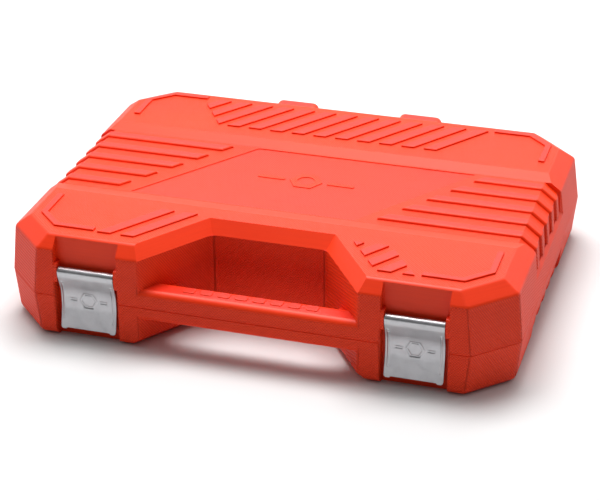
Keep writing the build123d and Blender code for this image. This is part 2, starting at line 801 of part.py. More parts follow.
row_end = socket_row(
    "half_inch_large_sockets", [20, 21, 22, 23, 24, 27, 30, 32], 42, half_inch, -178, 104, growth=0.5,
)
row_end = socket_row("spark_plug_sockets", [16, 21], 48, half_inch, row_end + 2, 104)
row_end = socket_row(
    "half_inch_small_sockets", [10, 11, 12, 13, 14, 15, 16, 17, 18, 19], 38, half_inch, -196, 60,
)
row_end = socket_row("half_inch_star_sockets", [9.4, 11, 13, 15], 38, half_inch, row_end + 2, 60, points=12)
deep_end = socket_row("half_inch_deep_sockets", [14, 15, 17, 19, 21], 76, half_inch, -200, -22)
row_end = socket_row(
    "quarter_inch_deep_sockets", [6, 7, 8, 9, 10, 11, 12, 13], 50, quarter_inch, deep_end + 8, 5,
)
row_end = socket_row(
    "quarter_inch_star_sockets", [4, 5, 6, 7, 7.5], 25, quarter_inch, row_end + 4, 30, points=12,
)
socket_row(
    "quarter_inch_sockets", [4, 4.5, 5, 5.5, 6, 7, 8, 9, 10, 11, 12, 13, 14], 25,
    quarter_inch, deep_end + 8, -24,
)

for name, drive, male, length, x, y, direction in (
    ("half_inch_long_extension", half_inch, half_inch, 248, -199, -40, (1, 0, 0)),
    ("half_inch_short_extension", half_inch, half_inch, 74, -197, -112, (1, 0, 0)),
    ("quarter_inch_long_extension", quarter_inch, quarter_inch, 100, 62, -62.5, (1, 0, 0)),
    ("quarter_inch_short_extension", quarter_inch, quarter_inch, 48, row_end + 8, 6, (0, 1, 0)),
    ("drive_adapter", half_inch, 9.5, 36, row_end - 62, 15, (1, 0, 0)),
):
    bar, bar_radius = extension(drive, length, male)
    groups[name] = [lay(bar, x, y, deck, direction)]
    seat(x, y, deck, direction, bar_radius, length)

for prefix, drive, x, y, direction in (
    ("half_inch", half_inch, -176, -137, (1, 0, 0)),
    ("quarter_inch", quarter_inch, row_end + 24, 6, (0, 1, 0)),
):
    socket_yoke, cross, drive_yoke, joint_radius, joint_length = universal_joint(drive)
    groups[f"{prefix}_joint_socket_yoke"] = [lay(socket_yoke, x, y, deck, direction)]
    groups[f"{prefix}_joint_cross"] = [lay(cross, x, y, deck, direction)]
    groups[f"{prefix}_joint_drive_yoke"] = [lay(drive_yoke, x, y, deck, direction)]
    seat(x, y, deck, direction, joint_radius, joint_length + drive * 1.1)

place_ratchet("half_inch", 1.0, half_inch, 226, -178, -74)
place_ratchet("quarter_inch", 0.66, quarter_inch, 128, 74, -82)

shaft, handle, shaft_radius, handle_radius = spinner(quarter_inch, 56, 86)
groups["spinner_shank"] = [lay(shaft, 58, -39.5, deck, (1, 0, 0))]
groups["spinner_grip"] = [lay(handle, 58, -39.5, deck, (1, 0, 0))]
seat(58, -39.5, deck, (1, 0, 0), quarter_inch * 0.72, 60)
seat(114, -39.5, deck, (1, 0, 0), handle_radius, 86)

with BuildPart() as bit_holder:
    with BuildSketch(Plane.XY.offset(holder_floor)):
        with Locations(holder_place):
            RectangleRounded(holder_width, holder_depth, 3)
    extrude(amount=holder_height)
    with BuildSketch(Plane.XY.offset(holder_floor + 2)):
        with Locations(holder_place):
            with GridLocations(bit_pitch, bit_row_pitch, bit_columns, bit_rows):
                RegularPolygon(bit_size / 3 ** 0.5 + 0.1, 6)
    extrude(amount=holder_height, mode=Mode.SUBTRACT)
with BuildPart() as bits:
    with BuildSketch(Plane.XY.offset(holder_floor + 2)):
        with Locations(holder_place):
            with GridLocations(bit_pitch, bit_row_pitch, bit_columns, bit_rows):
                RegularPolygon(bit_size / 3 ** 0.5, 6)
    extrude(amount=bit_length * 0.72)
    with BuildSketch(Plane.XY.offset(holder_floor + 2 + bit_length * 0.72)):
        with Locations(holder_place):
            with GridLocations(bit_pitch, bit_row_pitch, bit_columns, bit_rows):
                Circle(bit_size * 0.3)
    extrude(amount=bit_length * 0.28)
groups["bit_holder"] = [bit_holder.part]
groups["driver_bits"] = [bits.part]

wrench_places = []        # size, x of the open end, y, and the way each combination wrench points
wrench_y = wrench_first_y
for large, small in ((19, 8), (17, 10), (16, 11), (15, 12), (14, 13)):
    radius = wrench_heads(large)[1]
    wrench_y -= radius + wrench_gap / 2
    wrench_places.append((large, -wrench_reach, wrench_y, 1))
    wrench_places.append((small, wrench_reach, wrench_y, -1))
    wrench_y -= radius + wrench_gap / 2
groups["combination_wrenches"] = [
    wrench(size).rotate(Axis.Z, 0 if way > 0 else 180).moved(Location((x, y, lid_ceiling)))
    for size, x, y, way in wrench_places
]


def wrench_seats(grow):
    """The hollows in the lid's inner wall that the combination wrenches press into."""
    room = seat_gap + grow
    pieces = []
    for size, x, y, way in wrench_places:
        length, open_radius, ring_radius, width, thick = wrench_heads(size)
        start = min(x + way * open_radius, x + way * (length - ring_radius))
        with BuildPart() as hollow:
            with BuildSketch(Plane.XY.offset(lid_ceiling - 1)):
                with Locations((x + way * open_radius, y)):
                    Circle(open_radius + room)
                with Locations((x + way * (length - ring_radius), y)):
                    Circle(ring_radius + room)
                with Locations((start + (length - open_radius - ring_radius) / 2, y)):
                    Rectangle(length - open_radius - ring_radius, width + 2 * room)
            extrude(amount=thick + 1 + room)
        pieces.append(hollow.part)
    return pieces


def base_seats(grow):
    """Every seat in the base as a cutter, or as its outer skin when grow is its thickness."""
    room = seat_gap + grow
    pieces = [
        Solid.make_cylinder(
            radius + room, length + 2 * room, Plane(origin=start - along * room, z_dir=along),
        )
        for start, along, radius, length in round_seats
    ]
    for x, y, low, head, lever_x, neck in head_seats:
        with BuildPart() as head_seat:
            with BuildSketch(Plane.XY.offset(low - room)):
                with Locations((x, y)):
                    Circle(head + room)
                with Locations((x + lever_x, y)):
                    Circle(neck + room)
                make_hull()
            extrude(amount=2 * (deck - low) + room)
        pieces.append(head_seat.part)
    with BuildPart() as holder_seat:
        with BuildSketch(Plane.XY.offset(holder_floor - grow)):
            with Locations(holder_place):
                RectangleRounded(holder_width + 2 * room, holder_depth + 2 * room, 3 + room)
        extrude(amount=holder_height + 20)
    return pieces + [holder_seat.part]


# ================================================================== hinge
hinge_y = back + knuckle_gap + knuckle_radius
foot_back = hinge_y + knuckle_radius


def foot(centre, low, high, round_high):
    """One moulded foot on the back wall, its corners rounded away from the parting plane."""
    inside = lid_block(wall) if round_high else base_block(wall)
    with BuildPart() as block:
        with BuildSketch(Plane.XZ.offset(-foot_back)) as face:
            with Locations((centre, (low + high) / 2)):
                Rectangle(foot_width, high - low)
            fillet(face.vertices().group_by(Axis.Y)[-1 if round_high else 0], foot_corner)
        behind_slope = back - shoulder_back_lean - bevel_back
        extrude(amount=foot_back - (behind_slope if round_high else back - wall))
        outer = block.edges().filter_by(lambda edge: edge.center().Y > foot_back - 0.1)
        far = outer.filter_by(lambda edge: abs(edge.center().Z - parting) > knuckle_relief + 1)
        fillet(far, 2.0)
        add(inside, mode=Mode.SUBTRACT)
    return block.part


def hinge_zones(half, grow):
    """Slabs across the hinge axis: the middle one is the lid's, the outer two the base's."""
    zones = []
    for side in (-1, 1):
        centre = side * hinge_centre
        middle = lid_knuckle_width / 2
        spans = [(-middle, middle)]
        if half != "lid":
            spans = [(-foot_width / 2, -middle), (middle, foot_width / 2)]
        for low, high in spans:
            low_gap = grow if low > -foot_width / 2 + 0.01 else 1.0 * (grow > 0)
            high_gap = grow if high < foot_width / 2 - 0.01 else 1.0 * (grow > 0)
            zones.append((centre + low - low_gap, centre + high + high_gap))
    return zones


def knuckles(half):
    """Round knuckles about the hinge axis, joined to the foot and wall of their own half."""
    toward_lid = 1 if half == "lid" else -1
    pieces = []
    for low, high in hinge_zones(half, 0):
        with BuildPart() as knuckle:
            with BuildSketch(Plane.YZ.offset(low)):
                with Locations((hinge_y, parting)):
                    Circle(knuckle_radius)
                with Locations((hinge_y, parting + toward_lid * (knuckle_relief + 1) / 2)):
                    Rectangle(2 * knuckle_radius, knuckle_relief + 1)
                with Locations(
                    ((hinge_y + back - wall) / 2, parting + toward_lid * (knuckle_relief + 1) / 2),
                ):
                    Rectangle(hinge_y - back + wall, knuckle_relief + 1)
            extrude(amount=high - low)
        pieces.append(knuckle.part)
    return pieces


def hinge_feet(half):
    """Both feet of one half with their knuckles."""
    pieces = []
    for side in (-1, 1):
        if half == "lid":
            pieces.append(foot(side * hinge_centre, parting + knuckle_relief, lid_top - foot_top, True))
        else:
            pieces.append(foot(side * hinge_centre, foot_bottom, parting - knuckle_relief, False))
    return pieces + knuckles(half)


def hinge_clearance(half):
    """Pin bores, and the room around the other half's knuckles."""
    other = "base" if half == "lid" else "lid"
    pieces = []
    for side in (-1, 1):
        pin_line = Plane(
            origin=(side * hinge_centre - foot_width, hinge_y, parting), x_dir=(0, 1, 0), z_dir=(1, 0, 0),
        )
        pieces.append(Solid.make_cylinder(hinge_pin_radius + running_gap, 2 * foot_width, pin_line))
    for low, high in hinge_zones(other, knuckle_side_gap):
        line = Plane(origin=(low, hinge_y, parting), x_dir=(0, 1, 0), z_dir=(1, 0, 0))
        pieces.append(Solid.make_cylinder(knuckle_radius + knuckle_gap * 0.8, high - low, line))
    return pieces


# ================================================================== latch bars and catches
def latch_mounts():
    """The moulded bar that each latch turns on, and the bosses at its ends."""
    pieces = []
    boss_front = front + boss_back_gap
    for side in (-1, 1):
        centre = side * latch_centre
        bar_line = Plane(
            origin=(centre - latch_slot_half - 1, latch_axis_y, latch_axis_z),
            x_dir=(0, 1, 0), z_dir=(1, 0, 0),
        )
        pieces.append(Solid.make_cylinder(latch_bar_radius, 2 * latch_slot_half + 2, bar_line))
        for end in (-1, 1):
            with BuildPart() as block:
                with BuildSketch(Plane.YZ.offset(centre + end * (latch_slot_half + 1))):
                    with Locations(((latch_slot_back + 1 + boss_front) / 2, latch_axis_z - 1)):
                        RectangleRounded(latch_slot_back + 1 - boss_front, boss_height, 2.5)
                extrude(amount=-end * (boss_width + 1))
            pieces.append(block.part)
    return pieces


def catches():
    """The ridge on the base that each latch snaps over."""
    pieces = []
    for side in (-1, 1):
        with BuildPart() as ridge:
            with BuildSketch(Plane.YZ.offset(side * latch_centre - catch_width / 2)) as section:
                with BuildLine():
                    Polyline(
                        (latch_slot_back + 1, catch_height - 6), (latch_slot_back + 1, catch_height + 6),
                        (latch_slot_back, catch_height + 5), (catch_front, catch_height + 1.5),
                        (catch_front, catch_height - 1.5), (latch_slot_back, catch_height - 5), close=True,
                    )
                make_face()
            extrude(amount=catch_width)
        pieces.append(ridge.part)
    return pieces


# ================================================================== lid
def side_rib(side, place):
    """One rib over the side band: along the top, over the bevel and down the side wall."""
    middle = side_rib_middle + place * side_rib_pitch
    low = middle - side_rib_width / 2
    high = middle + side_rib_width / 2
    tip = (left_rib_tip if side < 0 else right_rib_tip) + place * rib_tip_step
    tip_back = tip + slant * side_rib_width
    rib_outside = lid_block(band_depth - side_rib_height)
    rib_inside = lid_block(band_depth + 0.3)
    with BuildPart() as rib:
        with BuildSketch(Plane.XY.offset(parting + side_rib_foot)):
            with BuildLine():
                Polyline((tip, low), (side * reach, low), (side * reach, high), (tip_back, high), close=True)
            make_face()
        extrude(amount=lid_top)
        add(rib_outside, mode=Mode.INTERSECT)
        add(rib_inside, mode=Mode.SUBTRACT)
        fillet(outer_edges(rib, 1), side_rib_round)
    return rib.part


def back_row():
    """Slanted ribs behind the band, clipped at the row's slanted left end."""
    ribs = []
    for place in range(row_rib_count):
        left = row_rib_last - row_rib_width - place * row_rib_pitch
        ribs.append(slanted_rib(left, row_front, row_back, row_rib_width, lid_top, slant_rib_height))
    with BuildPart() as clip:
        with BuildSketch(Plane.XY.offset(lid_top - 5)):
            with BuildLine():
                Polyline(
                    (row_left, row_front - 5), (row_left - slant * (row_back - row_front), row_back),
                    (row_left - slant * (row_back - row_front), row_back + 5), (reach, row_back + 5),
                    (reach, row_front - 5), close=True,
                )
            make_face()
        extrude(amount=10)
    return [piece for rib in ribs for piece in (rib & clip.part).solids()]


def front_ribs():
    """Slanted ribs beside the handle recess: two on the left, a clipped strip on the right."""
    low = front + front_rib_start
    high = low + front_rib_length
    strip_back = low + strip_length
    ribs = [
        slanted_rib(left - slant * front_rib_length, low, high, front_rib_width, lid_top, slant_rib_height)
        for left in front_left_ribs
    ]
    strip = [
        slanted_rib(
            strip_first + place * front_rib_pitch, low, high, front_rib_width, lid_top, slant_rib_height,
        )
        for place in range(strip_rib_count)
    ]
    with BuildPart() as clip:
        with BuildSketch(Plane.XY.offset(lid_top - 5)):
            with BuildLine():
                Polyline(
                    (strip_left, strip_back), (strip_left + strip_width, strip_back),
                    (strip_left + strip_width + slant * strip_length, low),
                    (strip_left + slant * strip_length, low), close=True,
                )
            make_face()
        extrude(amount=10)
    return ribs + [piece for rib in strip for piece in (rib & clip.part).solids()]


def brackets():
    """A low ridge in three straight runs near each corner of the lid."""
    ridges = []
    far_x = half_width - bracket_side
    far_y = back - bracket_front
    for side, turn in ((-1, -1), (1, -1), (-1, 1), (1, 1)):
        points = (
            (far_x, far_y - bracket_cut - bracket_side_run), (far_x, far_y - bracket_cut),
            (far_x - bracket_cut, far_y), (far_x - bracket_cut - bracket_front_run, far_y),
        )
        with BuildPart() as ridge:
            with BuildSketch(Plane.XY.offset(lid_top - rib_root)):
                with BuildLine():
                    Polyline(*[(side * x, bracket_middle + turn * y) for x, y in points])
                trace(line_width=bracket_width)
            extrude(amount=bracket_height + rib_root)
            fillet(ridge.faces().sort_by(Axis.Z)[-1].edges(), slant_rib_round)
        ridges.append(ridge.part)
    return ridges


def finger_pads():
    """Low pads along the top of the handle, on the fingers' side."""
    with BuildPart() as pads:
        with BuildSketch(Plane.XY.offset(grip_high - pad_root)):
            with Locations((0, grip_back - grip_round - pad_depth / 2 + 1)):
                with GridLocations(pad_pitch, 1, pad_count, 1):
                    RectangleRounded(pad_width, pad_depth, 2)
        extrude(amount=pad_root + pad_height)
        fillet(pads.faces().group_by(Axis.Z)[-1].edges(), pad_height * 0.8)
    return pads.part.solids()


with BuildPart() as emblem:
    with BuildSketch(Plane.XY.offset(lid_top - band_depth - panel_depth - 0.5)):
        RegularPolygon(emblem_size, 6)
        Circle(emblem_size * 0.52, mode=Mode.SUBTRACT)
        with Locations((-emblem_size * 2.1, 0), (emblem_size * 2.1, 0)):
            SlotOverall(emblem_size * 1.7, emblem_size * 0.32)
    extrude(amount=emblem_height + 0.5)

lid_rise = lid_top - shoulder
lid_full = lid_block(0)
lid_core = lid_block(wall)
hollow_cutters = [
    band(band_depth + wall, wall),
    grip_recess(grip_high - wall, lid_top + 5, wall, shoulder, lid_rise),
    finger_gap(0, lid_top, wall),
    finger_gap(grip_high - grip_round - wall, lid_top, wall, corner_round=0),
    latch_slots(0, lid_top + 5, wall),
    tool_space(parting, lid_ceiling + seat_skin, seat_skin),
]
hollow_cutters += wrench_seats(seat_skin)
lid_cutters = [
    band(band_depth, 0),
    grip_recess(grip_high - grip_round, lid_top + 5, 0, shoulder, lid_rise),
    finger_gap(0, lid_top, 0),
    latch_slots(0, lid_top + 5, 0),
    tool_space(0, lid_ceiling, 0),
]
lid_cutters += wrench_seats(0)
lid_ribs = [side_rib(side, place) for side in (-1, 1) for place in side_rib_places]
lid_ribs += back_row() + front_ribs() + brackets()
lid_grip = [grip_cap(lid_full, grip_high - grip_round - 1, grip_high, grip_high)] + finger_pads()
lid_feet = hinge_feet("lid") + latch_mounts()
lid_clearance = hinge_clearance("lid")

with BuildPart() as lid_outside:
    add(lid_full)
    fillet(lid_outside.edges().filter_by(lambda edge: edge.center().Z > parting + 0.1), edge_round)
    chamfer(lid_outside.edges().filter_by(lambda edge: edge.center().Z < parting + 0.1), parting_bevel)

with BuildPart() as lid_hollow:
    add(lid_core)
    with BuildSketch(Plane.XY.offset(parting)):
        Rectangle(reach * 2, reach * 2)
    extrude(amount=wall, mode=Mode.SUBTRACT)
    add(hollow_cutters, mode=Mode.SUBTRACT)

with BuildPart() as lid_shell:
    add(lid_outside.part)
    add(lid_cutters, mode=Mode.SUBTRACT)
    add(lid_grip)
    add(lid_hollow.part, mode=Mode.SUBTRACT)
    with BuildSketch(Plane.XY.offset(lid_top - band_depth - panel_depth)):
        half_depth = (panel_back - panel_front) / 2
        lean = slant * half_depth
        with Locations((0, (panel_back + panel_front) / 2)):
            Polygon(
                (-panel_half - lean, -half_depth), (panel_half - lean, -half_depth),
                (panel_half + lean, half_depth), (-panel_half + lean, half_depth), align=None,
            )
    extrude(amount=band_depth, mode=Mode.SUBTRACT)
    add(lid_ribs)
    add(emblem.part)
    add(lid_feet)
    add(lid_clearance, mode=Mode.SUBTRACT)

finish(lid_shell.part, "lid_shell")


# ================================================================== base
base_full = base_block(0)
base_core = base_block(wall)
hollow_cutters = [
    base_band(band_depth + wall, wall),
    grip_recess(-5, grip_low + wall, wall, base_round, -base_round),
    finger_gap(0, parting, wall),
    finger_gap(0, grip_low + grip_round + wall, wall, corner_round=0),
    latch_slots(-5, parting, wall),
    tool_space(deck - seat_skin, parting, seat_skin),
]
hollow_cutters += base_seats(seat_skin)
base_cutters = [
    base_band(band_depth, 0),
    grip_recess(-5, grip_low + grip_round, 0, base_round, -base_round),
    finger_gap(-5, parting, 0),
    latch_slots(-5, parting, 0),
    tool_space(deck, parting + 5, 0),
]
seat_cutters = base_seats(0)
base_grip = grip_cap(base_full, grip_low, grip_low + grip_round + 1, grip_low)
base_ribs = [base_rib(side, place) for side in (-1, 1) for place in side_rib_places]
base_feet = hinge_feet("base") + catches()
base_clearance = hinge_clearance("base")

with BuildPart() as base_outside:
    add(base_full)
    chamfer(base_outside.edges().filter_by(lambda edge: edge.center().Z > parting - 0.1), parting_bevel)

with BuildPart() as base_hollow:
    add(base_core)
    with BuildSketch(Plane.XY.offset(parting - wall)):
        Rectangle(reach * 2, reach * 2)
    extrude(amount=wall, mode=Mode.SUBTRACT)
    add(hollow_cutters, mode=Mode.SUBTRACT)

with BuildPart() as base_shell:
    add(base_outside.part)
    add(base_cutters, mode=Mode.SUBTRACT)
    add(base_grip)
    add(base_ribs)
    add(base_hollow.part, mode=Mode.SUBTRACT)
    add(seat_cutters, mode=Mode.SUBTRACT)
    add(base_feet)
    add(base_clearance, mode=Mode.SUBTRACT)

finish(base_shell.part, "base_shell")


# ================================================================== hinge pins, latches, tools
with BuildPart() as hinge_pins:
    for side in (-1, 1):
        add(
            Solid.make_cylinder(
                hinge_pin_radius, foot_width - 1,
                Plane(
                    origin=(side * hinge_centre - foot_width / 2 + 0.5, hinge_y, parting), z_dir=(1, 0, 0),
                ),
            )
        )
finish(hinge_pins.part, "hinge_pins")


def latch(side):
    """A pressed sheet latch: rolled over its bar at the top, bowed in over the catch, flared at the foot."""
    roll = latch_bar_radius + latch_bar_gap + latch_sheet / 2
    front_line = latch_axis_y - roll
    bowed_line = catch_front - latch_catch_gap - latch_sheet / 2
    left = side * latch_centre - latch_width / 2
    with BuildPart() as plate:
        with BuildSketch(Plane.YZ.offset(left)):
            with Locations((latch_axis_y, latch_axis_z)):
                Circle(roll + latch_sheet / 2)
                Circle(roll - latch_sheet / 2, mode=Mode.SUBTRACT)
        extrude(amount=latch_width)
        with BuildSketch(Plane.YZ.offset(left)):
            with BuildLine():
                FilletPolyline(
                    (front_line, latch_axis_z), (front_line, latch_axis_z - 3),
                    (bowed_line, catch_height + 12), (bowed_line, catch_height - 2),
                    (front_line + 1.0, latch_foot), radius=12,
                )
            trace(line_width=latch_sheet)
        extrude(amount=latch_width)
    return plate.part


finish(latch(-1), "latch_left")
finish(latch(1), "latch_right")

for name, pieces in groups.items():
    finish(pieces[0] if len(pieces) == 1 else Compound(children=pieces), name)
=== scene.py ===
import json
from math import cos, hypot, pi, radians, sin, tan

import bmesh
import bpy
from mathutils import Matrix, Vector


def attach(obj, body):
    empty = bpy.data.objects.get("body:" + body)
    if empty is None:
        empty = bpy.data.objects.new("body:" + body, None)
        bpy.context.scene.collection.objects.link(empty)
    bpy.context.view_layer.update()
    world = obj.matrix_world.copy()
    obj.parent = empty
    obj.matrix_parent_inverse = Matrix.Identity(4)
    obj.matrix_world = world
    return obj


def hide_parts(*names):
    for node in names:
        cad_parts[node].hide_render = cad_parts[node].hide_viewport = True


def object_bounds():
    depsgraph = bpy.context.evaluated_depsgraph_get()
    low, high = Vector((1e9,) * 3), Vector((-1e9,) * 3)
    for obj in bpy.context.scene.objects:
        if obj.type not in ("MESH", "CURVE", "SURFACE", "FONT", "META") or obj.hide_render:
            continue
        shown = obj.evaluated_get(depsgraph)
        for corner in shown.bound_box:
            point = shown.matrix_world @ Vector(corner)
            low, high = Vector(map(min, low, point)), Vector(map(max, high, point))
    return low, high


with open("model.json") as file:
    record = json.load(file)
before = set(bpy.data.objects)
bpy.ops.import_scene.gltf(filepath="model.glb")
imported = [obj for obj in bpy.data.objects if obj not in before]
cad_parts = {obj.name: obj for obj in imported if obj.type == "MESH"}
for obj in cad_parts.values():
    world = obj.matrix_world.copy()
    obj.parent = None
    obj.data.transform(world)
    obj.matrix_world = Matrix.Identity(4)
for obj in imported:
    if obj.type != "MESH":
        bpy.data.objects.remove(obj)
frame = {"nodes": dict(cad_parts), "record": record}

cad_low, cad_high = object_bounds()
nodes = frame["nodes"]

# ---------------------------------------------------------------- table, light and camera
# The case lies on a pale matt table in front of a bright backdrop that curves up behind it. A large
# soft light hangs overhead and slightly behind, and the room on the viewer's side is dim.
camera_place = Vector((0.425163, -1.423671, 0.799791))
camera_turn = radians(16.840)
camera_down = radians(27.699)
camera_roll = radians(-0.250)
middle_of_case = Vector((0, 0, 0.05))
camera = bpy.data.objects.new("camera", bpy.data.cameras.new("camera"))
camera.data.lens = 112.98
camera.data.clip_start = 0.05
camera.data.clip_end = 30.0
camera.matrix_world = (
    Matrix.Translation(camera_place) @ Matrix.Rotation(camera_turn, 4, "Z")
    @ Matrix.Rotation(pi / 2 - camera_down, 4, "X") @ Matrix.Rotation(camera_roll, 4, "Z")
)
bpy.context.scene.collection.objects.link(camera)
bpy.context.scene.camera = camera
bpy.context.scene.view_settings.view_transform = "Standard"


def soft_light(name, place, size, power):
    """A rectangular light of the given size at a place, facing the case."""
    lamp = bpy.data.objects.new(name, bpy.data.lights.new(name, "AREA"))
    lamp.data.shape = "RECTANGLE"
    lamp.data.size, lamp.data.size_y = size
    lamp.data.energy = power
    toward = middle_of_case - Vector(place)
    lamp.matrix_world = Matrix.Translation(place) @ toward.to_track_quat("-Z", "Y").to_matrix().to_4x4()
    bpy.context.scene.collection.objects.link(lamp)


soft_light("overhead", (-0.15, 0.30, 1.5), (1.0, 0.7), 31)
soft_light("from_behind", (-0.2, 1.5, 1.2), (1.8, 0.5), 6)


class Wire:
    """A value in a material. Arithmetic on it adds Math nodes, and node() adds any other node."""

    def __init__(self, tree, socket=None):
        self.tree = tree
        self.socket = socket

    def node(self, kind, inputs=(), output=0, **settings):
        """Add a node: its settings first, then a value or a Wire for each input."""
        made = self.tree.nodes.new(kind)
        for name, value in settings.items():
            setattr(made, name, value)
        for name, value in dict(inputs).items():
            if isinstance(value, Wire):
                self.tree.links.new(value.socket, made.inputs[name])
            else:
                made.inputs[name].default_value = value
        return Wire(self.tree, made.outputs[output])

    def math(self, operation, *values):
        return self.node("ShaderNodeMath", enumerate((self, *values)), operation=operation)

    def __add__(self, other):
        return self.math("ADD", other)

    def __sub__(self, other):
        return self.math("SUBTRACT", other)

    def __mul__(self, other):
        return self.math("MULTIPLY", other)

    def __rsub__(self, other):
        return self * -1.0 + other

    __radd__ = __add__
    __rmul__ = __mul__

    def wave(self):
        return self.math("SINE")

    def size(self):
        return self.math("ABSOLUTE")

    def either(self, other):
        return self.math("MAXIMUM", other)

    def above(self, level, soft=0.0005):
        """1 where this is over the level, fading in over twice the softness."""
        edges = {"Value": self, "From Min": level - soft, "From Max": level + soft}
        return self.node("ShaderNodeMapRange", edges, interpolation_type="SMOOTHSTEP")

    def between(self, low, high, soft=0.0005):
        return self.above(low, soft) * (1 - self.above(high, soft))

    def mixed(self, first, second):
        """A colour between two, by this value."""
        ends = {0: self, 6: (*first, 1.0), 7: (*second, 1.0)}
        return self.node("ShaderNodeMix", ends, output=2, data_type="RGBA")

    def axes(self):
        return [self.node("ShaderNodeSeparateXYZ", {0: self}, output=axis) for axis in range(3)]

    def cloud(self, scale, detail=2.0):
        """Noise at this position."""
        return self.node("ShaderNodeTexNoise", {"Vector": self, "Scale": scale, "Detail": detail})

    def stretched(self, scale):
        return self.node("ShaderNodeMapping", {"Vector": self, "Scale": scale})

    def raised(self):
        """A surface normal from this height, in metres."""
        return self.node("ShaderNodeBump", {"Height": self, "Strength": 1.0, "Distance": 1.0})


room = bpy.data.worlds.new("room")
room.use_nodes = True
room_shader = room.node_tree.nodes["Background"]
room_tree = Wire(room.node_tree)
across, away, up = room_tree.node("ShaderNodeTexCoord", output=0).axes()
behind = (away * cos(camera_turn) - across * sin(camera_turn)).above(0.25, 0.75)
glow = (behind * 0.80 + up.above(0.5, 0.4) * 0.20).mixed((0.04, 0.04, 0.04), (1.40, 1.40, 1.40))
room.node_tree.links.new(glow.socket, room_shader.inputs["Color"])
bpy.context.scene.world = room


def new_finish(name, colour, roughness, metallic=0.0, **constants):
    """A material with its fixed values. Returns it, a way to feed its shader, and the position."""
    material = bpy.data.materials.new(name)
    material.use_nodes = True
    shader = material.node_tree.nodes["Principled BSDF"]
    shader.inputs["Base Color"].default_value = (*colour, 1.0)
    shader.inputs["Roughness"].default_value = roughness
    shader.inputs["Metallic"].default_value = metallic
    for socket, value in constants.items():
        shader.inputs[socket.replace("_", " ")].default_value = value

    def feed(socket, wire):
        material.node_tree.links.new(wire.socket, shader.inputs[socket])

    return material, feed, Wire(material.node_tree).node("ShaderNodeTexCoord", output=3)


def new_piece(name, shape, material, body=None):
    """An object from a finished shape, with one material, attached to a body if one is given."""
    mesh = bpy.data.meshes.new(name)
    shape.to_mesh(mesh)
    shape.free()
    mesh.materials.append(material)
    piece = bpy.data.objects.new(name, mesh)
    bpy.context.scene.collection.objects.link(piece)
    if body:
        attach(piece, body)
    return piece


table_size = 6.0
table_drop = 0.0002                          # keeps the table's face clear of the case's underside
table_finish, feed, place = new_finish("table", (0.66, 0.66, 0.66), 0.85)
feed("Base Color", place.cloud(3.0, 3.0).mixed((0.65, 0.65, 0.65), (0.68, 0.68, 0.68)))
shape = bmesh.new()
bmesh.ops.create_grid(shape, x_segments=1, y_segments=1, size=table_size)
bmesh.ops.translate(shape, verts=shape.verts, vec=(0, 0, cad_low.z - table_drop))
new_piece("table", shape, table_finish)

# ---------------------------------------------------------------- base and lid
# Two blow mouldings in orange-red polyethylene, each with a double wall. Flat faces and walls carry a fine
# dotted or lined grain from the mould, while bevels, ribs and the middle panel are polished smooth.
grain_pitch = 0.0026
grain_depth = 0.00019
lid_top = (0.0905, 0.0925)                   # heights between which the level faces of the lid's top lie
band_floor_height = (0.0874, 0.0888)         # and those of the sunken bands
side_wall, end_wall, corner_wall = 0.2125, 0.1645, 0.345
recess_half_width, recess_front, recess_back = 0.094, -0.172, -0.1065
case_plastic, feed, place = new_finish("case_plastic", (0.80, 0.022, 0.0015), 0.40, Specular_IOR_Level=0.30)
x, y, z = place.axes()
nx, ny, nz = place.node("ShaderNodeTexCoord", output=1).axes()
level = nz.size().above(0.985, 0.01)
upright = 1 - nz.size().above(0.3, 0.1)
corners = (x.size() + y.size()).above(corner_wall)
outside = x.size().above(side_wall).either(y.size().above(end_wall)).either(corners)
inside_recess = (1 - x.size().above(recess_half_width)) * y.between(recess_front, recess_back)
turn = 2 * pi / grain_pitch
dots = (x * turn).wave() * (y * turn).wave()
run = x * ny.size().above(0.35, 0.1) + y * nx.size().above(0.35, 0.1)
wall_dots = (run * turn).wave() * (z * turn).wave()
wall_lines = ((run + z) * (turn * 0.85)).wave()
sideways = nx.size().above(0.55, 0.05)
outer_top = level * z.between(*lid_top)
band_floor = level * z.between(*band_floor_height)
walls = upright * (outside + inside_recess).math("MINIMUM", 1.0)
wall_grain_and_painted_glint = walls * (sideways * wall_lines * 0.8 + (1 - sideways) * wall_dots)
flat_grain_and_painted_glint = (outer_top + band_floor) * dots
flow = place.stretched((0.7, 1.4, 60.0)).cloud(14.0, 3.0)
swell = place.cloud(11.0, 2.0)
speck = place.cloud(900.0, 1.0)
scuff = place.stretched((50.0, 420.0, 420.0)).cloud(1.0, 3.0).above(0.66, 0.06)
# Level faces off the grained top and bands: the bevels, ribs and middle panel. Their base colour is painted
# darker below, a painted shade for the darker look of smooth faces that reflect the dim room.
polished_painted_shade = level * (1 - outer_top - band_floor)
# Base colour: random swell and flow tone, plus the mould grain pattern painted lighter at the dot tips as
# painted glints, minus the painted shade on the polished faces.
shade = swell * 0.45 + flow * 0.3 + (flat_grain_and_painted_glint + wall_grain_and_painted_glint) * 0.34 + 0.16 - polished_painted_shade * 0.6
feed("Base Color", shade.mixed((0.68, 0.017, 0.001), (0.98, 0.050, 0.001)))
grained = (outer_top + band_floor + walls).math("MINIMUM", 1.0)
feed("Roughness", 0.36 + 0.10 * swell + 0.12 * grained + 0.07 * speck + 0.06 * scuff)
grain_height = (flat_grain_and_painted_glint + wall_grain_and_painted_glint) * grain_depth
feed("Normal", (grain_height + swell * 0.0006 + speck * 0.000006 - scuff * 0.00001).raised())


def finish_node(name, material):
    """Give a carried-over piece its material."""
    mesh = nodes[name].data
    if not mesh.materials:
        mesh.materials.append(material)
    for index in range(len(mesh.materials)):
        mesh.materials[index] = material


finish_node("base_shell", case_plastic)
finish_node("lid_shell", case_plastic)

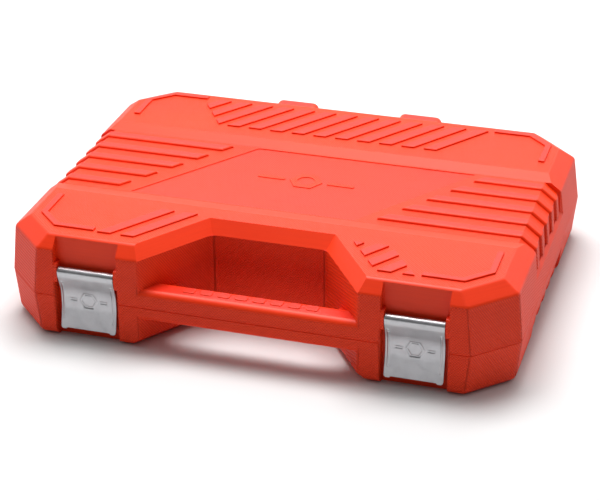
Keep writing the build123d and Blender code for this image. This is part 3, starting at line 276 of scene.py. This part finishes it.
# ---------------------------------------------------------------- hinge pins
# Lengths of drawn steel wire, pushed through the knuckles of both halves. Their surface shows fine
# drawing lines along the wire and a little dulling.
drawn_steel, feed, place = new_finish("drawn_steel", (0.55, 0.55, 0.56), 0.35, 1.0)
drawn = place.stretched((30.0, 2500.0, 2500.0)).cloud(1.0, 2.0)
dull = place.cloud(160.0, 3.0)
feed("Base Color", dull.mixed((0.42, 0.42, 0.43), (0.62, 0.62, 0.63)))
feed("Roughness", 0.25 + 0.2 * dull)
feed("Normal", (drawn * 0.00001).raised())
finish_node("hinge_pins", drawn_steel)

# ---------------------------------------------------------------- latches
# Pressed from satin stainless sheet and rolled over the bars on the lid. A raised bead stiffens each side
# edge and starts at a small pip, and a plain hexagon is pressed into the middle. The foot has two ears.
latch_width = 0.049
latch_centre = 0.1395                        # distance of each latch from the middle of the case
sheet = 0.0010
bead_inset = 0.0028                          # from the side edge to the middle of the bead and pip
bead_half_width = 0.0010
pip_radius = 0.0011
bead_height = 0.00060
emblem_line = 0.0270                         # how far below the roll the pressed hexagon sits
emblem_depth = 0.00045
stroke_depth = 0.00040
ear_length = 0.0012
corner_radius = 0.0025
bar = Vector((-0.1672, 0.0605))              # y and z of the axis the latch turns on
roll = 0.00345 + sheet / 2                   # radius of the sheet's outer face around the bar
front_y = bar.x - roll
bow_y = -0.1652 - sheet / 2                  # the sheet's front face where it bows in over the catch
bends = [(front_y, 0.0605), (front_y, 0.0575), (bow_y, 0.042), (bow_y, 0.028), (front_y + 0.0010, 0.0076)]
bend_radii = (0.0, 0.012, 0.030, 0.030)
path = [Vector((bar.x + roll * cos(angle), bar.y + roll * sin(angle)))
        for angle in (radians(step) for step in range(-40, 181, 6))]
rolled = len(path)
for index in range(1, 4):
    here = Vector(bends[index])
    before = (Vector(bends[index - 1]) - here).normalized()
    after = (Vector(bends[index + 1]) - here).normalized()
    reach = bend_radii[index] * tan((pi - before.angle(after)) / 2)
    for step in range(9):
        share = step / 8
        first = here + before * reach * (1 - share)
        second = here + after * reach * share
        path.append(first.lerp(second, share))
path.append(Vector(bends[-1]))
lengths = [0.0]
for first, second in zip(path, path[1:]):
    lengths.append(lengths[-1] + (second - first).length)
top_edge = lengths[rolled - 1]               # distance along the sheet where it leaves the roll
foot_edge = lengths[-1]


def along_sheet(distance):
    """Point and outward direction on the sheet's front face, at a distance from its hidden end."""
    index = 0
    while index < len(path) - 2 and lengths[index + 1] < distance:
        index += 1
    share = (distance - lengths[index]) / (lengths[index + 1] - lengths[index])
    heading = (path[index + 1] - path[index]).normalized()
    return path[index].lerp(path[index + 1], share), Vector((-heading.y, heading.x)) * -1


def step_up(value, low, high):
    share = min(max((value - low) / (high - low), 0.0), 1.0)
    return share * share * (3 - 2 * share)


def pressed(across, down):
    """Height of the pressed shapes over the plain sheet, down from the roll."""
    edge = latch_width / 2 - abs(across)
    run = step_up(down, 0.0105, 0.0125) * (1 - step_up(down, 0.0440, 0.0460))
    bead = run * max(0.0, 1 - ((edge - bead_inset) / bead_half_width) ** 2) * bead_height
    pip = max(0.0, 1 - (hypot(edge - bead_inset, down - 0.0100) / pip_radius) ** 2) * bead_height
    low = down - emblem_line
    radius = max(abs(low), abs(low) * 0.5 + abs(across) * 0.866)
    ring = step_up(radius, 0.0048, 0.0054) * (1 - step_up(radius, 0.0066, 0.0072)) * -emblem_depth
    stroke = step_up(abs(across), 0.0098, 0.0104) * (1 - step_up(abs(across), 0.0160, 0.0166))
    stroke *= (1 - step_up(abs(low), 0.0008, 0.0014)) * -stroke_depth
    wear = 0.00006 * sin(across * 310 + 1.0) * sin(down * 190)
    return bead + pip + ring + stroke + wear * step_up(edge, 0.0, 0.006)


def foot_length(across):
    """How far down the sheet goes: the two ears at the foot are longer, with round corners."""
    edge = latch_width / 2 - abs(across)
    ears = ear_length * (1 - step_up(edge, 0.0045, 0.0060))
    rounding = corner_radius - (corner_radius ** 2 - max(0.0, corner_radius - edge) ** 2) ** 0.5
    return foot_edge - ear_length + ears - rounding


latch_steel, feed, place = new_finish("latch_steel", (0.50, 0.50, 0.52), 0.34, 1.0)
grain = place.stretched((60.0, 900.0, 1500.0)).cloud(1.0, 2.0)
stain = place.cloud(95.0, 4.0)
print_mark = place.cloud(240.0, 2.0).above(0.60, 0.08)
feed("Base Color", (stain * 0.8 + grain * 0.2).mixed((0.40, 0.40, 0.42), (0.60, 0.60, 0.62)))
feed("Roughness", 0.24 + 0.14 * stain + 0.08 * grain + 0.08 * print_mark)
feed("Normal", (grain * 0.000004 + stain * 0.00002).raised())
for side, body in ((-1, "latch_left"), (1, "latch_right")):
    shape = bmesh.new()
    bmesh.ops.create_grid(shape, x_segments=122, y_segments=170, size=0.5)
    for vert in shape.verts:
        across = vert.co.x * latch_width
        distance = (0.5 - vert.co.y) * foot_length(across)
        spot, outward = along_sheet(distance)
        spot = spot + outward * pressed(across, distance - top_edge)
        vert.co = Vector((side * latch_centre + across, spot.x, spot.y))
    bmesh.ops.recalc_face_normals(shape, faces=shape.faces)
    front_faces = sum(face.normal.y for face in shape.faces if face.calc_center_median().z < 0.05)
    if front_faces > 0:
        bmesh.ops.reverse_faces(shape, faces=shape.faces)
    bmesh.ops.solidify(shape, geom=shape.faces[:], thickness=sheet)
    bmesh.ops.recalc_face_normals(shape, faces=shape.faces)
    for face in shape.faces:
        face.smooth = len(face.verts) == 4
    latch = new_piece("pressed_" + body, shape, latch_steel, body)
    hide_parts(body)

# ---------------------------------------------------------------- tools in their seats
# Sockets, extensions, joints, wrenches and ratchets are forged chrome vanadium, satin chrome plated. Gears,
# pawls, crosses and screws are oiled and dark, the bits bead blasted, the grips and the bit holder moulded.
finishes = {}
finishes["tool_chrome"], feed, place = new_finish("tool_chrome", (0.70, 0.70, 0.72), 0.2, 1.0)
film = place.cloud(55.0, 4.0)
turned = place.stretched((900.0, 260.0, 900.0)).cloud(1.0, 2.0)
feed("Base Color", film.mixed((0.60, 0.60, 0.62), (0.80, 0.80, 0.82)))
feed("Roughness", 0.13 + 0.17 * film + 0.05 * turned)
feed("Normal", (turned * 0.000004 + film * 0.00002).raised())
finishes["dark_steel"], feed, place = new_finish("dark_steel", (0.12, 0.12, 0.13), 0.35, 1.0)
oil = place.cloud(220.0, 3.0)
feed("Base Color", oil.mixed((0.07, 0.07, 0.075), (0.20, 0.20, 0.205)))
feed("Roughness", 0.22 + 0.3 * oil)
finishes["bit_steel"], feed, place = new_finish("bit_steel", (0.30, 0.30, 0.31), 0.5, 1.0)
blast = place.cloud(2400.0, 1.0)
feed("Base Color", place.cloud(300.0).mixed((0.22, 0.22, 0.23), (0.38, 0.38, 0.39)))
feed("Roughness", 0.42 + 0.2 * blast)
feed("Normal", (blast * 0.00002).raised())
finishes["grip_black"], feed, place = new_finish("grip_black", (0.03, 0.03, 0.033), 0.6)
x = place.axes()[0]
leather = place.cloud(1100.0, 2.0)
grooves = (x * (2 * pi / 0.004)).wave().above(0.2, 0.3)
feed("Base Color", leather.mixed((0.022, 0.022, 0.025), (0.045, 0.045, 0.048)))
feed("Roughness", 0.5 + 0.25 * leather)
feed("Normal", (leather * 0.00006 + grooves * 0.00025).raised())
finishes["holder_plastic"], feed, place = new_finish("holder_plastic", (0.035, 0.035, 0.04), 0.5)
fine = place.cloud(1500.0, 2.0)
feed("Base Color", place.cloud(60.0).mixed((0.025, 0.025, 0.028), (0.05, 0.05, 0.055)))
feed("Roughness", 0.42 + 0.2 * fine)
feed("Normal", (fine * 0.00003).raised())
for part in frame["record"]["subparts"]:
    if part["material_slot"] in finishes:
        finish_node(part["node"], finishes[part["material_slot"]])
